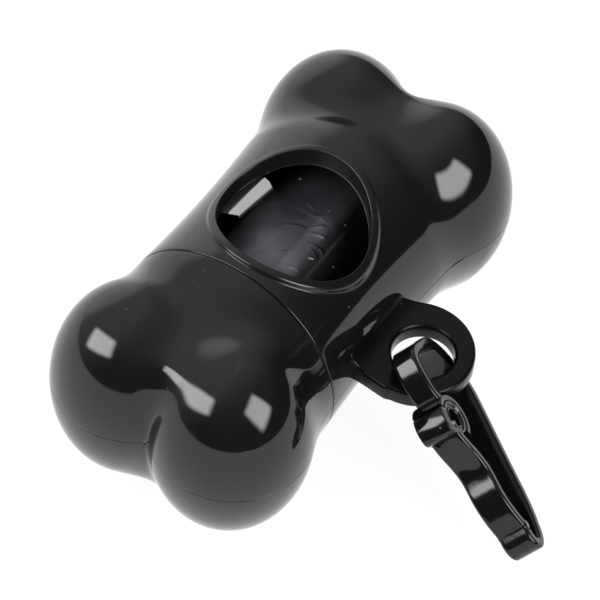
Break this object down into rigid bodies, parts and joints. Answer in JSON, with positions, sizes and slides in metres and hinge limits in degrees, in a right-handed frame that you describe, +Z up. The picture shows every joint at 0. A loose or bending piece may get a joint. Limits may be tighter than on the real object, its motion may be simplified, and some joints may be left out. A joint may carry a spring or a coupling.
{
  "type": "pet waste bag dispenser",
  "caption": "Bone-shaped hollow plastic dispenser for rolled pet waste bags, with a round hole on top, a pull-off end cap and a snap clip on a side tab.",
  "frame": {"origin": "middle of the bag bay, on the parting plane of the shells and midway between the bone's two ends", "axes": "+X along the bone from the pull-off cap to the closed end, +Z up through the bag hole, and the tab and clip stand out on -Y"},
  "size_m": [0.0856, 0.0806, 0.0422],
  "materials": {
    "shell_plastic": "polished black moulding",
    "bag_film": "thin dark film, crinkled, slightly shiny",
    "core_card": "plain wound card",
    "clip_plastic": "moulded, semi-gloss"
  },
  "bodies": {
    "body": {"body_top_shell": "shell_plastic", "body_bottom_shell": "shell_plastic"},
    "cap": {"cap_top_shell": "shell_plastic", "cap_bottom_shell": "shell_plastic"},
    "roll": {"bag_roll": "bag_film", "roll_core": "core_card"},
    "clip": {"clip_hook": "clip_plastic"},
    "gate": {"clip_gate": "clip_plastic"}
  },
  "joints": [
    {"name": "cap_pull", "type": "slide", "parent": "body", "child": "cap", "axis": [-1, 0, 0], "range_m": [0, 0.026]},
    {"name": "roll_spin", "type": "hinge", "parent": "body", "child": "roll", "pos_m": [0, 0, -0.0006], "axis": [1, 0, 0], "continuous": true},
    {"name": "clip_swing", "type": "hinge", "parent": "body", "child": "clip", "pos_m": [-0.0007, -0.0267, 0.0018], "axis": [0, 0, 1], "range_deg": [-25, 40]},
    {"name": "gate_open", "type": "hinge", "parent": "clip", "child": "gate", "pos_m": [-0.01323, -0.053, -0.00965], "axis": [0.5273, -0.5437, 0.6529], "range_deg": [0, 20], "stiffness_Nm_per_rad": 0.02}
  ]
}
